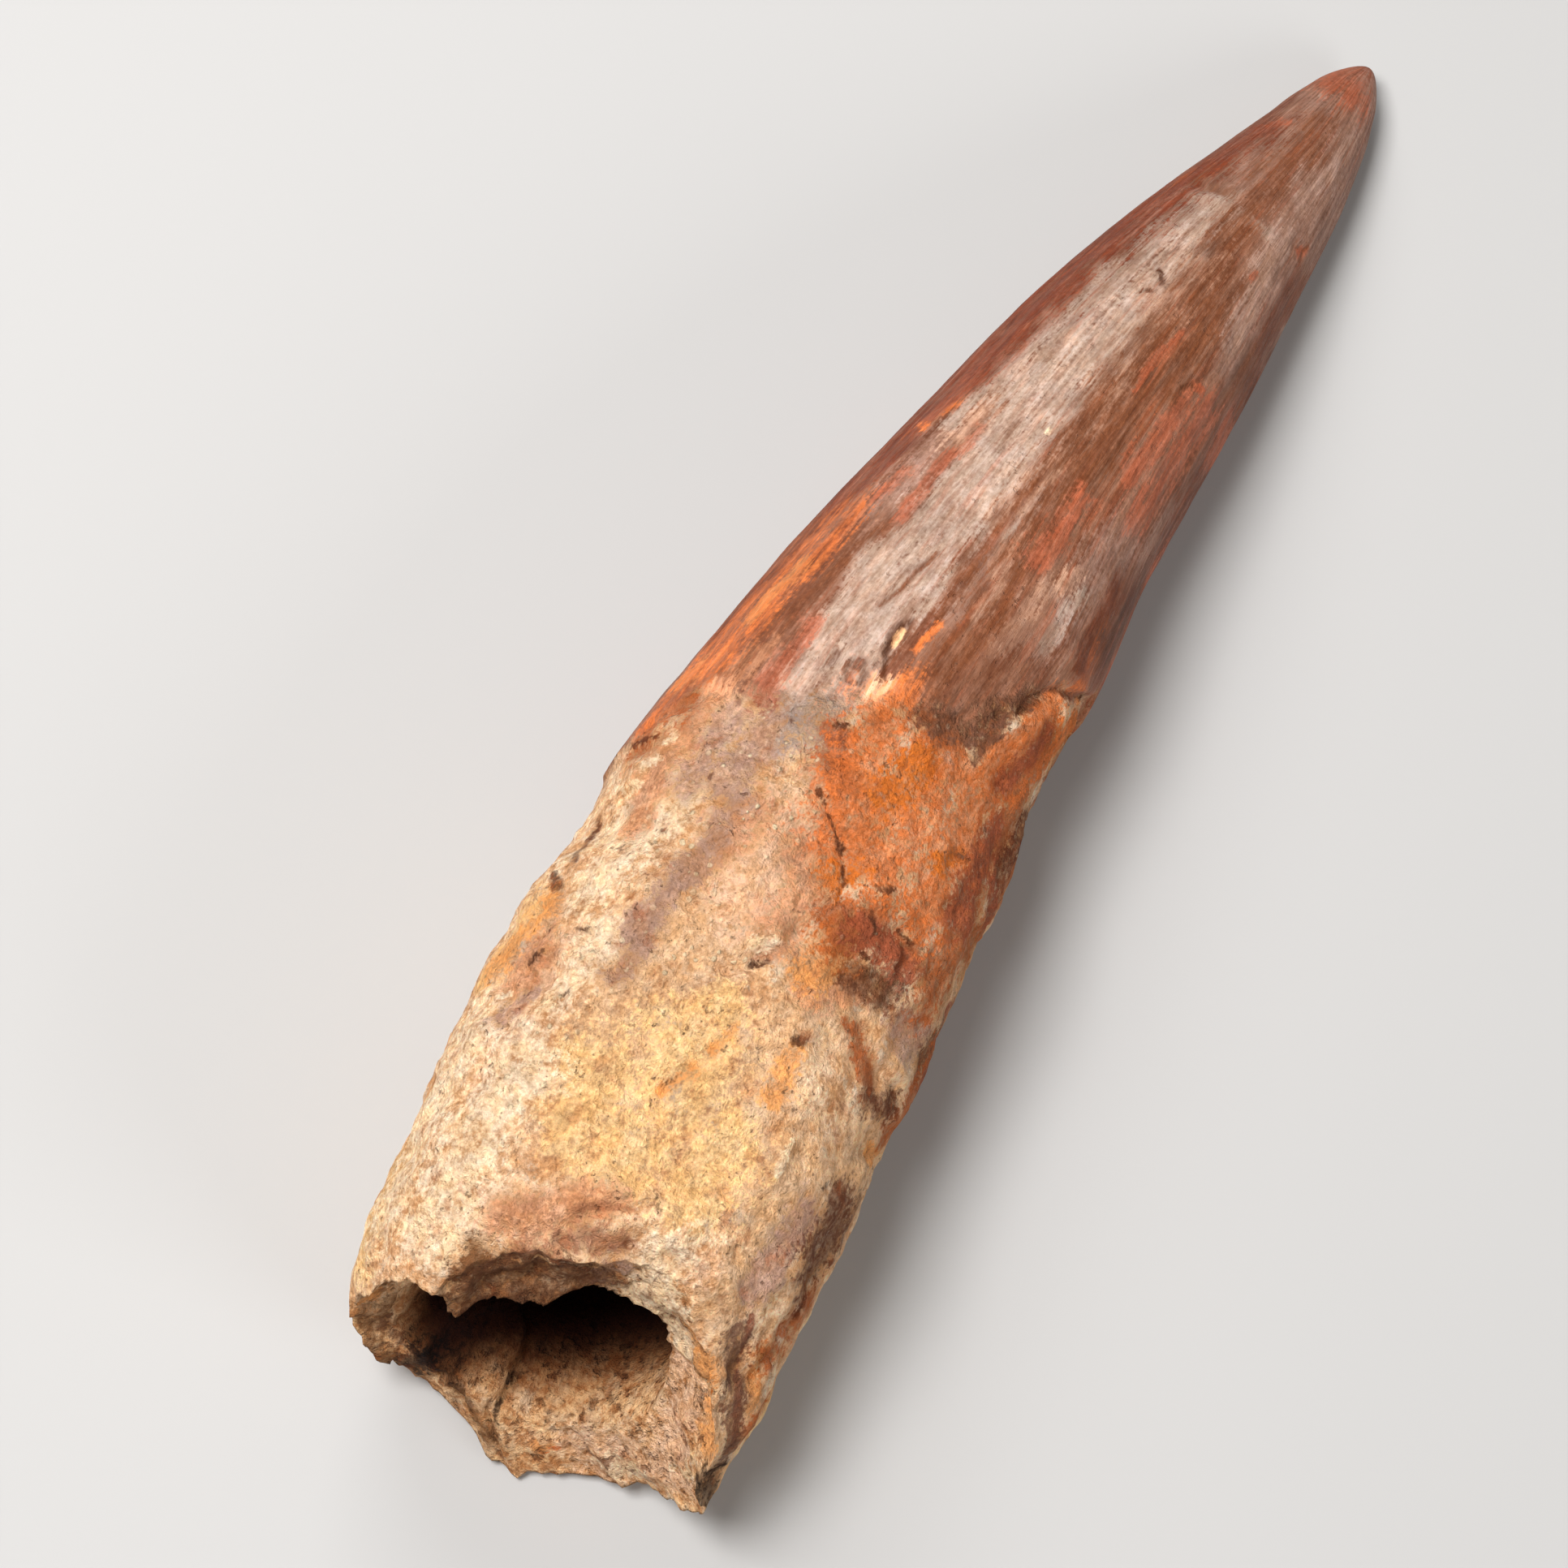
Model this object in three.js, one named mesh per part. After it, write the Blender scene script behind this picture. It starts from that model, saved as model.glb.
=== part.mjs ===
// Fossil tooth of a large spinosaurid dinosaur: enamelled crown and broken, hollow root in one piece.
// Millimetres, +Z up. The tooth lies on its flatter side: root at -X, tip at +X, the convex front
// edge towards +Y and the straighter back edge towards -Y. The origin is on the surface it lies on,
// under the middle of its outer box.
import * as THREE from "three";
import { ParametricGeometry } from "three/addons/geometries/ParametricGeometry.js";
import { ImprovedNoise } from "three/addons/math/ImprovedNoise.js";
import { mergeVertices } from "three/addons/utils/BufferGeometryUtils.js";

// Driving dimensions. Lengths along the tooth are counted from the furthest point of the root.
const TIP = 152.5; // overall length
const TIP_ROUND = 4.5; // length of the worn, rounded tip
const CAVITY = { depth: 50, y: 4.4, z: 13, halfWidth: 11.4, halfHeight: 8 };
const ROOT_END = 24; // the rim's unevenness has died away this far up the root

// The form, as [distance along the tooth, value]: front edge, back edge, upper side, underside.
const FRONT = [
  [0, 17.2], [4, 19.0], [10, 20.8], [16, 21.6], [28, 23.1], [37, 23.3], [45.5, 23.0], [53, 23.4],
  [66, 22.1], [81, 19.9], [96, 17.0], [111, 14.1], [121, 11.5], [131, 8.6], [142, 4.8], [149, 2.6],
  [153, 1.0],
];
const BACK = [
  [0, -15.6], [16, -14.5], [22, -14.1], [28, -13.2], [41, -11.9], [54, -10.4], [62, -9.5], [68, -8.6],
  [81, -7.3], [93, -6.4], [111, -5.7], [126, -5.0], [137, -4.7], [146, -3.9], [153, -2.5],
];
const UPPER = [
  [0, 27], [16, 29], [38, 29.5], [66, 27], [86, 24], [106, 19.5], [121, 15], [136, 10],
  [146, 6.6], [153, 4],
];
const UNDER = [[0, 0.5], [12, -0.2], [42, -0.2], [88, 0.7], [122, 0.3], [140, -0.15], [153, 0.9]];

// Tables of [angle, value]: 0 degrees is the front edge, 90 the upper side, 180 the back edge.
const RIM_OUTSIDE = [
  [0, 2.2], [17, 2.2], [24, 2.8], [33, 3.7], [39, 4.2], [44, 3.8], [48, 3.4], [51, 5.4], [57, 7.2],
  [66, 9.2], [74, 10.2], [80, 10.8], [86, 11.4], [92, 12.4], [97, 13.6], [109, 14.4],
  [125, 12.5], [140, 9.5], [154, 6.2], [165, 4.0], [180, 3.0], [196, 3.2], [212, 3.8],
  [224, 4.5], [237, 3.5], [249, 2.5], [260, 1.2], [267, 0], [275, 0], [281, 0.6], [288, 1.8],
  [301, 2.5], [312, 2.3], [321, 1.4], [331, 1.0], [345, 1.7], [360, 2.2],
];
const RIM_INSIDE = [
  [0, 4], [20, 6.5], [40, 6], [50, 4.4], [55, 4.4], [60, 6.4], [71, 7.2], [86, 8.6], [92, 10.6],
  [99, 12], [110, 12.6], [126, 13.2], [140, 12.8], [152, 12.2], [165, 11], [180, 9.5], [193, 8],
  [210, 6.5], [228, 5.2], [253, 3.4], [270, 2.4], [294, 2.4], [320, 3.4], [340, 3.8], [360, 4],
];
const RIM_SCOOP = [
  [0, 0.5], [12, 0.15], [45, 0.1], [50, 0.5], [55, 0.9], [64, 1.2], [80, 1.4], [92, 1.2],
  [102, 0.6], [115, 0.25], [150, 0.15], [170, 0.3], [200, 0.6], [340, 0.6], [360, 0.5],
];
const RIM_LIP = [
  [0, 0.5], [20, 0.3], [50, 0.3], [57, 0.8], [64, 1.1], [98, 1.4], [125, 2.2], [150, 0.4],
  [180, 0.2], [260, 0.5], [360, 0.5],
];
const ENAMEL_END = [
  [0, 50], [20, 56], [37, 59], [66, 61], [85, 64], [107, 67], [126, 73], [150, 77], [176, 80],
  [210, 74], [250, 66], [300, 61], [340, 54], [360, 50],
];

// Ridges, hollows, pits and flake scars: place along and around, half length, half width,
// height over the smooth form, and the turn of the long side off the tooth's own length.
const MARKS = [
  { x: 96, angle: 39, long: 34, wide: 2.2, height: 0.45 }, // shoulder ridge along the crown
  { x: 100, angle: 84, long: 26, wide: 2.0, height: 0.25 }, // second crown ridge
  { x: 104, angle: 128, long: 30, wide: 2.4, height: 0.25 }, // third crown ridge
  { x: 112, angle: 180, long: 34, wide: 1.4, height: 0.55 }, // back keel
  { x: 108, angle: 12, long: 34, wide: 1.6, height: 0.35 }, // front keel
  { x: 100, angle: 250, long: 30, wide: 2.6, height: 0.3 }, // ridge on the hidden side
  { x: 96, angle: 310, long: 30, wide: 2.6, height: 0.3 }, // ridge on the hidden side
  { x: 24, angle: 50, long: 17, wide: 4.0, height: 0.9, turn: 8 }, // pale ridge of the root
  { x: 27, angle: 84, long: 13, wide: 5.0, height: -0.9 }, // hollow beside it
  { x: 22, angle: 118, long: 14, wide: 4.5, height: 0.5 }, // swelling above the thick wall
  { x: 37, angle: 16, long: 5, wide: 5, height: 0.6 }, // crust on the front edge
  { x: 45.5, angle: 12, long: 2.6, wide: 6, height: -0.5 }, // step where a flake came off
  { x: 71, angle: 82.5, long: 2.8, wide: 1.0, height: -0.9, turn: -10 }, // long pit
  { x: 65.6, angle: 76.5, long: 1.7, wide: 1.5, height: -0.8 }, // round pit
  { x: 117, angle: 75, long: 1.6, wide: 1.2, height: -0.5 }, // small pit near the tip
  { x: 68, angle: 121, long: 4.5, wide: 3.2, height: -0.45 }, // worn dark hollow
  { x: 78, angle: 150, long: 1.6, wide: 6, height: 0.5, turn: 20 }, // lip of the enamel
  { x: 40, angle: 91, long: 1.6, wide: 3.2, height: -0.8, turn: -25 }, // chipped scarp
  { x: 29, angle: 86, long: 1.3, wide: 4.5, height: -0.6, turn: -35 }, // scarp in the hollow
  { x: 44, angle: 150, long: 4.8, wide: 3.2, height: -0.6 }, // smooth flake scar
  { x: 11.5, angle: 146, long: 5.5, wide: 2.3, height: -1.1, turn: -43 }, // split wall at the base
  { x: 10.5, angle: 172, long: 4.5, wide: 4, height: -0.7 }, // worn flat beside the split
  { x: 5, angle: 170, long: 2.2, wide: 2.4, height: -1.8 }, // notch at the lowest corner
  { x: 13, angle: 85, long: 2.2, wide: 3.4, height: -0.9, turn: 15 }, // dip behind the rim's lip
  { x: 52, angle: 262, long: 9, wide: 5, height: 0.5 }, // crust on the hidden side
  { x: 30, angle: 215, long: 8, wide: 4, height: -0.6 }, // hollow on the hidden side
  { x: 34, angle: 318, long: 9, wide: 4, height: 0.6 }, // crust on the hidden side
];
const ENAMEL_STEP = 0.3; // the enamel stands this far over the root
const LIP_REACH = 4; // the broken rim's worn edge is rounded over this length
const CRUST = [
  { size: 11, height: 0.9 }, // swellings of the stone crust on the root
  { size: 4.5, height: 0.45 }, // and the smaller lumps on them
];
const CHUNK = { x: 4, angle: 295, long: 8, spread: 25, height: 1.7 }; // stone stuck in the cavity

// How many facets there are round the tooth, and rows of them along each stretch of it.
// The facets are closer together on the upper side, by this many degrees at the most.
const AROUND = 60;
const CROWDING = 14;
const CAVITY_ROWS = 9;
const RIM_ROWS = 6;
const OUTSIDE_RUNS = [
  { to: LIP_REACH, rows: 4 },
  { to: ROOT_END, rows: 9 },
  { to: 58, rows: 16 },
  { to: 80, rows: 12 },
  { to: 112, rows: 12 },
  { to: 122, rows: 4 },
  { to: TIP - TIP_ROUND, rows: 8 },
];
const TIP_ROWS = 4;

const radians = THREE.MathUtils.degToRad;
const { clamp, lerp, smoothstep } = THREE.MathUtils;

// A smooth curve through a table's points.
function along(table, x) {
  const last = table.length - 1;
  const at = clamp(x, table[0][0], table[last][0]);
  let i = 0;
  while (i < last - 1 && at > table[i + 1][0]) i += 1;
  const slope = (k) => {
    const before = table[Math.max(k - 1, 0)];
    const after = table[Math.min(k + 1, last)];
    return (after[1] - before[1]) / (after[0] - before[0]);
  };
  const step = table[i + 1][0] - table[i][0];
  const t = (at - table[i][0]) / step;
  return (
    (2 * t ** 3 - 3 * t ** 2 + 1) * table[i][1] +
    (t ** 3 - 2 * t ** 2 + t) * step * slope(i) +
    (3 * t ** 2 - 2 * t ** 3) * table[i + 1][1] +
    (t ** 3 - t ** 2) * step * slope(i + 1)
  );
}

// Straight lines between a table's points, which keeps a broken edge angular.
function broken(table, angle) {
  let i = 0;
  while (i < table.length - 2 && angle > table[i + 1][0]) i += 1;
  const t = (angle - table[i][0]) / (table[i + 1][0] - table[i][0]);
  return lerp(table[i][1], table[i + 1][1], t);
}

// Uneven lumps of about one size, from -1 to 1.
const noise = new ImprovedNoise();
function lumps(x, phi, radius, size) {
  return noise.noise(x / size, (radius * Math.cos(phi)) / size, (radius * Math.sin(phi)) / size);
}

// Height of the weathered surface over the smooth form.
function relief(x, angle, radius) {
  const phi = radians(angle);
  const crown = smoothstep(x - broken(ENAMEL_END, angle), -0.8, 0.8);
  let height = ENAMEL_STEP * crown;
  for (const layer of CRUST) {
    height += layer.height * lumps(x, phi, radius, layer.size) * (1 - crown);
  }
  const toRim = clamp((x - broken(RIM_OUTSIDE, angle)) / LIP_REACH, 0, 1);
  height -= broken(RIM_LIP, angle) * (1 - toRim) ** 2;
  for (const mark of MARKS) {
    const off = ((angle - mark.angle + 540) % 360) - 180;
    const turn = radians(mark.turn ?? 0);
    const dx = x - mark.x;
    const dg = radians(off) * radius;
    const l = (dx * Math.cos(turn) + dg * Math.sin(turn)) / mark.long;
    const w = (dg * Math.cos(turn) - dx * Math.sin(turn)) / mark.wide;
    height += mark.height * Math.exp(-(l * l + w * w));
  }
  return height * (1 - smoothstep(x, TIP - 2 * TIP_ROUND, TIP - 0.3 * TIP_ROUND));
}

// A point of the outside: an oval section, flatter underneath, with its relief.
function outside(x, angle) {
  const phi = radians(angle);
  const front = along(FRONT, x);
  const back = along(BACK, x);
  const upper = along(UPPER, x);
  const under = along(UNDER, x);
  const past = clamp((x - (TIP - TIP_ROUND)) / TIP_ROUND, 0, 1);
  const cap = Math.sqrt(1 - past * past);
  const halfWidth = ((front - back) / 2) * cap;
  const halfHeight = ((upper - under) / 2) * cap;
  const sine = Math.sin(phi);
  const flatter = sine < 0 ? -(Math.abs(sine) ** 0.9) : sine;
  const height = relief(x, angle, (halfWidth + halfHeight) / 2);
  const normal = new THREE.Vector2(Math.cos(phi) * halfHeight, sine * halfWidth).normalize();
  return new THREE.Vector3(
    x,
    (front + back) / 2 + halfWidth * Math.cos(phi) + height * normal.x,
    Math.max(0, (upper + under) / 2 + halfHeight * flatter + height * normal.y),
  );
}

// A point of the pulp cavity's wall, with the stone still stuck in it.
function inside(x, angle) {
  const phi = radians(angle);
  const taper = Math.sqrt(Math.max(0, 1 - (x / CAVITY.depth) ** 2));
  const reach = Math.hypot((x - CHUNK.x) / CHUNK.long, (angle - CHUNK.angle) / CHUNK.spread);
  const crust = CHUNK.height * (1 - smoothstep(reach, 0.75, 1));
  const waves = 0.8 * lumps(x, phi, CAVITY.halfHeight, 6) * Math.min(1, 2 * taper);
  return new THREE.Vector3(
    x,
    CAVITY.y + (CAVITY.halfWidth * taper - crust + waves) * Math.cos(phi),
    CAVITY.z + (CAVITY.halfHeight * taper - crust + waves) * Math.sin(phi),
  );
}

// A point of the broken rim. A full scoop hollows the break behind its outer edge, and none
// rolls the outside over into it.
function rim(share, angle) {
  const outer = outside(broken(RIM_OUTSIDE, angle), angle);
  const inner = inside(broken(RIM_INSIDE, angle), angle);
  const scoop = broken(RIM_SCOOP, angle);
  const corner = outer.clone().lerp(inner, lerp(0.15, 0.65, scoop));
  corner.x = lerp(inner.x, outer.x, scoop);
  return new THREE.QuadraticBezierCurve3(inner, corner, outer).getPoint(share);
}

// Rows run from the blind end of the cavity, over the rim and along the outside to the tip.
const outsideStations = [];
for (const run of OUTSIDE_RUNS) {
  const from = outsideStations.at(-1) ?? 0;
  for (let k = 1; k <= run.rows; k += 1) {
    outsideStations.push(lerp(from, run.to, k / run.rows));
  }
}
for (let k = 1; k <= TIP_ROWS; k += 1) {
  outsideStations.push(TIP - TIP_ROUND + TIP_ROUND * Math.sin((k / TIP_ROWS) * (Math.PI / 2)));
}
const ROWS = CAVITY_ROWS + RIM_ROWS + outsideStations.length;

function surface(u, v, target) {
  const row = Math.round(v * ROWS);
  const angle = (360 * u + CROWDING * Math.cos(2 * Math.PI * u) + 360) % 360;
  if (row < CAVITY_ROWS) {
    const share = Math.sin((row / CAVITY_ROWS) * (Math.PI / 2));
    const lip = broken(RIM_INSIDE, angle);
    target.copy(inside(lerp(CAVITY.depth, lip, share * share), angle));
  } else if (row <= CAVITY_ROWS + RIM_ROWS) {
    target.copy(rim((row - CAVITY_ROWS) / RIM_ROWS, angle));
  } else {
    const station = outsideStations[row - CAVITY_ROWS - RIM_ROWS - 1];
    const edge = broken(RIM_OUTSIDE, angle);
    const x = station < ROOT_END ? lerp(edge, ROOT_END, station / ROOT_END) : station;
    target.copy(outside(x, angle));
  }
}

// One closed shell: the seam and both poles are welded, and the flat slivers there dropped.
function closedShell(geometry) {
  geometry.deleteAttribute("normal");
  geometry.deleteAttribute("uv");
  const welded = mergeVertices(geometry, 1e-3);
  const corners = welded.index.array;
  const kept = [];
  for (let i = 0; i < corners.length; i += 3) {
    const [a, b, c] = corners.slice(i, i + 3);
    if (a !== b && b !== c && c !== a) kept.push(a, b, c);
  }
  welded.setIndex(kept);
  welded.computeVertexNormals();
  return welded;
}

const toothGeometry = closedShell(new ParametricGeometry(surface, AROUND, ROWS));
toothGeometry.computeBoundingBox();
const middle = toothGeometry.boundingBox.getCenter(new THREE.Vector3());
toothGeometry.translate(-middle.x, -middle.y, 0);

const fossil = new THREE.MeshStandardMaterial({ color: 0x9a6a48, roughness: 0.55, metalness: 0 });
const tooth = new THREE.Mesh(toothGeometry, fossil);
tooth.name = "tooth";

const specimen = new THREE.Group();
specimen.add(tooth);
export default specimen;
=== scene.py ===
import math

import bmesh
import bpy
import numpy as np
from mathutils import Matrix, Vector, noise


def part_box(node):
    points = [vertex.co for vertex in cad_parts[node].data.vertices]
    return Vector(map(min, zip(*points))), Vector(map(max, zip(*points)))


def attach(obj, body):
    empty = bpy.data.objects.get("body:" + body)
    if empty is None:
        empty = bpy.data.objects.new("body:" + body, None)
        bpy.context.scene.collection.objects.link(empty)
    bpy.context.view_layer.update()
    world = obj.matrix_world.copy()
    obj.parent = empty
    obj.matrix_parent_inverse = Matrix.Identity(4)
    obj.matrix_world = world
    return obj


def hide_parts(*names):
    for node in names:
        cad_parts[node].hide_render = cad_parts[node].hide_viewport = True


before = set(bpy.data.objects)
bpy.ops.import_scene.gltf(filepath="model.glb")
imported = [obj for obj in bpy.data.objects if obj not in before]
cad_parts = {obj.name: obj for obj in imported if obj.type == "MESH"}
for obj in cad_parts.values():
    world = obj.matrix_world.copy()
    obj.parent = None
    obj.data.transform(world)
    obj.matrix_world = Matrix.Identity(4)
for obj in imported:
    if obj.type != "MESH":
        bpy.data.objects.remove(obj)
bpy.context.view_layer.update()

# The tooth: one piece of mineralised dentine under an enamel crown, grown in one and then broken off
# at the root, so that its pulp cavity stands open. A closed ball is drawn out to the tip and folded in
# at the root. Sizes are in millimetres, and a place is (along the tooth from the root, degrees round it).
TIP = 152.5
TIP_ROUND = 4.5
ROOT_END = 24
MEAN_RADIUS = 17
UNDER_FLATNESS = 0.9
ENAMEL_STEP = 0.3
LIP_REACH = 4
BREAK_DEPTH = 10
BREAK_GRAINS_BACKWARD = 8
SANDY_ANGLE, SANDY_HALF_ANGLE = 290, 22
CAVITY_DEPTH = 50
CAVITY_Y, CAVITY_Z = 4.4, 13
CAVITY_HALF_WIDTH, CAVITY_HALF_HEIGHT = 11.4, 8
CLOT_ALONG, CLOT_ANGLE = 4, 295
CLOT_HALF_LENGTH, CLOT_HALF_ANGLE = 8, 25
CLOT_THICK = 1.7
CAVITY_EDGE_ROUGH = (4, 9)

# The tooth's four sides as it lies, seen from above and from the side: along, and out or up.
FRONT = [
    (0, 17.2), (4, 19.1), (10, 21.2), (16, 21.9), (28, 23.4), (37, 23.6), (45.5, 23.3), (53, 23.6),
    (66, 22.2), (81, 20.0), (96, 17.1), (111, 14.2), (121, 11.6), (131, 8.6), (142, 4.8), (149, 2.6),
    (153, 1.0),
]
BACK = [
    (0, -15.6), (8, -14.5), (16, -14.0), (22, -13.9), (28, -12.9), (41, -11.8), (54, -10.4), (62, -9.1),
    (68, -8.0), (81, -7.6), (93, -6.2), (111, -5.7), (126, -5.0), (137, -4.5), (146, -3.4), (153, -2.3),
]
UPPER = [
    (0, 27), (16, 29), (38, 29.5), (66, 27), (86, 24), (106, 19.5), (121, 15), (136, 10), (146, 6.6),
    (153, 4),
]
UNDER = [
    (0, 0.5), (12, -0.2), (42, -0.2), (88, 0.7), (122, 0.3), (140, -0.15), (153, 0.9),
]

# The break, round the tooth in degrees: how far along its outer and inner edge lie, how deeply it is
# scooped, how far the outside rolls over at it, and where the enamel ends.
RIM_OUTSIDE = [
    (0, 2.2), (17, 2.2), (24, 2.8), (33, 3.7), (39, 4.2), (44, 3.8), (48, 3.4), (51, 5.4), (57, 7.2),
    (66, 9.2), (74, 10.2), (80, 10.8), (86, 11.4), (92, 12.4), (97, 13.6), (109, 14.4), (125, 12.5),
    (140, 9.5), (154, 6.2), (165, 4.0), (180, 3.0), (196, 3.2), (212, 3.8), (224, 4.5), (237, 3.5),
    (249, 2.5), (260, 1.2), (267, 0), (275, 0), (281, 0.6), (288, 1.8), (301, 2.5), (312, 2.3), (321, 1.4),
    (331, 1.0), (345, 1.7), (360, 2.2),
]
RIM_INSIDE = [
    (0, 4), (20, 6.5), (40, 6), (50, 4.4), (55, 4.4), (60, 6.4), (71, 7.2), (86, 8.6), (92, 10.6),
    (99, 12), (110, 12.6), (126, 13.2), (140, 12.8), (152, 12.2), (165, 11), (180, 9.5), (193, 8),
    (210, 6.5), (228, 5.2), (253, 3.4), (270, 2.4), (294, 2.4), (320, 3.4), (340, 3.8), (360, 4),
]
RIM_SCOOP = [
    (0, 0.5), (12, 0.15), (45, 0.1), (50, 0.5), (55, 0.9), (64, 1.2), (80, 1.4), (92, 1.2), (102, 0.6),
    (115, 0.25), (150, 0.15), (170, 0.3), (200, 0.6), (340, 0.6), (360, 0.5),
]
RIM_LIP = [
    (0, 0.5), (20, 0.3), (50, 0.3), (57, 0.8), (64, 1.1), (98, 1.4), (125, 2.2), (150, 0.4), (180, 0.2),
    (260, 0.5), (360, 0.5),
]
ENAMEL_END = [
    (0, 50), (20, 56), (37, 59), (66, 61), (85, 64), (107, 67), (126, 73), (150, 77), (176, 80), (210, 74),
    (250, 66), (300, 61), (340, 54), (360, 50),
]

# Ridges and hollows: along, round, half length, half width, height and the turn off the length.
MARKS = [
    (96, 39, 34, 2.2, 0.45, 0), (100, 84, 26, 2.0, 0.25, 0), (104, 128, 30, 2.4, 0.25, 0),
    (112, 180, 34, 1.4, 0.55, 0), (108, 12, 34, 1.6, 0.35, 0), (100, 250, 30, 2.6, 0.3, 0),
    (96, 310, 30, 2.6, 0.3, 0), (24, 50, 17, 4.0, 0.9, 8), (27, 84, 13, 5.0, -0.9, 0),
    (22, 118, 14, 4.5, 0.5, 0), (37, 16, 5, 5, 0.6, 0), (45.5, 12, 2.6, 6, -0.5, 0),
    (68, 121, 4.5, 3.2, -0.45, 0), (78, 150, 1.6, 6, 0.5, 20), (44, 150, 4.8, 3.2, -0.6, 0),
    (11.5, 146, 5.5, 2.3, -1.1, -43), (10.5, 172, 4.5, 4, -0.7, 0), (4.6, 175, 2.4, 2.8, -2.1, 0),
    (52, 262, 9, 5, 0.5, 0), (30, 215, 8, 4, -0.6, 0), (34, 318, 9, 4, 0.6, 0),
]
# Cracks, pits, steps and scars: height, half width and the points that one runs through.
SCARS = [
    (-0.9, 0.5, [(69, 82), (71.8, 81.2)]), (-0.5, 0.4, [(66.8, 85.4), (68.4, 83)]),
    (-0.45, 1.1, [(65.2, 76), (66, 76)]), (0.3, 0.45, [(65.5, 76.5)]),
    (-0.4, 0.4, [(65, 68), (66.5, 68.5)]), (-0.35, 0.3, [(113.6, 73), (114.4, 77.5)]),
    (-0.45, 0.4, [(116.9, 70), (117.2, 75), (116, 80)]), (-0.35, 0.3, [(118, 71), (119.8, 69.5)]),
    (-0.3, 0.3, [(121, 90), (122, 87)]), (-0.3, 0.3, [(104.6, 60)]),
    (-0.9, 0.6, [(37.6, 86.5), (38.8, 91), (40.3, 94)]), (0.5, 1.1, [(39.6, 86), (41.5, 91)]),
    (-0.6, 0.5, [(26.4, 86), (28.5, 89), (31, 93)]), (-0.5, 0.35, [(22.6, 50), (22.8, 53)]),
    (-0.5, 0.3, [(27.6, 53), (30, 50.5)]), (-0.5, 0.3, [(34.6, 44.5), (35, 49.5)]),
    (-0.5, 0.3, [(17.6, 64)]), (-0.5, 0.4, [(32.6, 80.5), (33.8, 81.5)]),
    (-0.4, 0.3, [(55, 78), (57, 77.5)]),
    (-0.5, 0.35, [(54.9, 83), (53.8, 90), (52.7, 96), (51.3, 101), (48, 104.5)]),
    (0.3, 1, [(53.6, 82), (52, 90), (50, 96)]), (-0.25, 0.3, [(50.4, 97), (47, 94), (44, 94.5)]),
    (-0.3, 0.3, [(48, 104), (44.5, 100), (42, 97)]),
    (-0.6, 0.4, [(71.5, 129.5), (73.5, 131.5), (75.2, 136), (76.5, 142), (77.2, 150), (78.5, 160)]),
    (0.45, 1.5, [(70.5, 133), (73, 138), (74.8, 148)]),
    (0.2, 0.35, [(92, 38), (98, 45), (101, 51), (108, 61)]),
    (0.22, 0.4, [(127.2, 45), (126.8, 55), (127.5, 62), (127, 90), (127.3, 105)]),
    (-0.25, 0.4, [(128.6, 45), (128.2, 55), (128.8, 62), (128.4, 90), (128.7, 105)]),
    (-0.25, 0.35, [(107, 118), (110.5, 129)]),
    (0.2, 0.4, [(146, 58), (145.7, 75), (146.3, 95), (146.6, 108)]),
    (-0.25, 0.35, [(67, 69), (72, 70), (76, 73.5), (81, 74.5)]), (-0.15, 0.3, [(90, 72), (99, 72)]),
    (0.35, 0.9, [(40.3, 138), (40.3, 156)]), (-0.35, 0.5, [(38.6, 138), (39, 156)]),
    (-0.5, 0.35, [(32.7, 153), (33.3, 161)]), (-0.35, 0.3, [(27.8, 139.5)]), (-0.35, 0.3, [(36, 110)]),
    (-0.35, 0.3, [(37, 116.5)]), (-0.3, 0.5, [(128.5, 133), (129, 143)]),
    (0.4, 0.5, [(25.5, 121), (28.5, 121.5)]), (-0.9, 2.2, [(12.5, 80), (13.6, 90)]),
    (-0.4, 0.4, [(13, 78.5), (15, 82.5), (16.6, 88), (17.2, 95)]),
    (0.4, 0.8, [(14.8, 79), (17.5, 86), (18.6, 94)]), (0.3, 0.5, [(49, 27), (49.6, 30)]),
    (0.3, 0.5, [(51, 31), (52, 33)]), (0.3, 0.6, [(53.5, 34), (55, 36)]),
    (-0.3, 0.4, [(52.4, 18), (52.8, 30)]),
]
# Crumbling stretches: half width and the points that one runs through.
CRUMBLING = [
    (3.4, [(9, 62), (13, 95)]), (2, [(8, 60), (12, 90)]), (3, [(15, 100), (18, 118)]),
    (4, [(41, 100), (48, 132)]), (2, [(66, 106), (70, 127)]), (3, [(32, 50), (44, 86)]),
    (3, [(5, 125), (14, 150)]), (2, [(29, 33), (36, 30)]), (2, [(46, 62), (57, 74)]),
]

# Weathering. Lumps of the root: height, size and octaves. Growth lines of the crown: height, stretch, size
# and octaves, where a stretch of 0.1 makes a line ten times as long as it is wide. Grains and sand pits:
# their height everywhere, and what crumbling adds to it.
ROOT_LUMPS = [(0.9, 11, 1), (0.45, 4.5, 2), (0.2, 2.4, 2)]
GROWTH_LINES = [(0.09, 0.12, 1.7, 2), (0.05, 0.3, 0.9, 1)]
GRAIN_SIZE = 1.5
GRAIN_LUMPS = (0.14, 0.25)
GRAIN_CRUMBS = (0.12, 0.4)
SAND_PIT_SIZE = 2.2
SAND_PIT_DEPTH = (0.2, 0.3)
OUTER_CHIP_DEPTH, OUTER_CHIP_SIZE = 0.65, 1.8
INNER_CHIP_DEPTH, INNER_CHIP_SIZE = 0.6, 1.5
BREAK_LUMP_HEIGHT, BREAK_LUMP_SIZE = 0.7, 3.2
BREAK_GRAIN_HEIGHT, BREAK_GRAIN_SIZE = 0.7, 2
BREAK_SAND_HEIGHT, BREAK_SAND_SIZE = 0.45, 1
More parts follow.
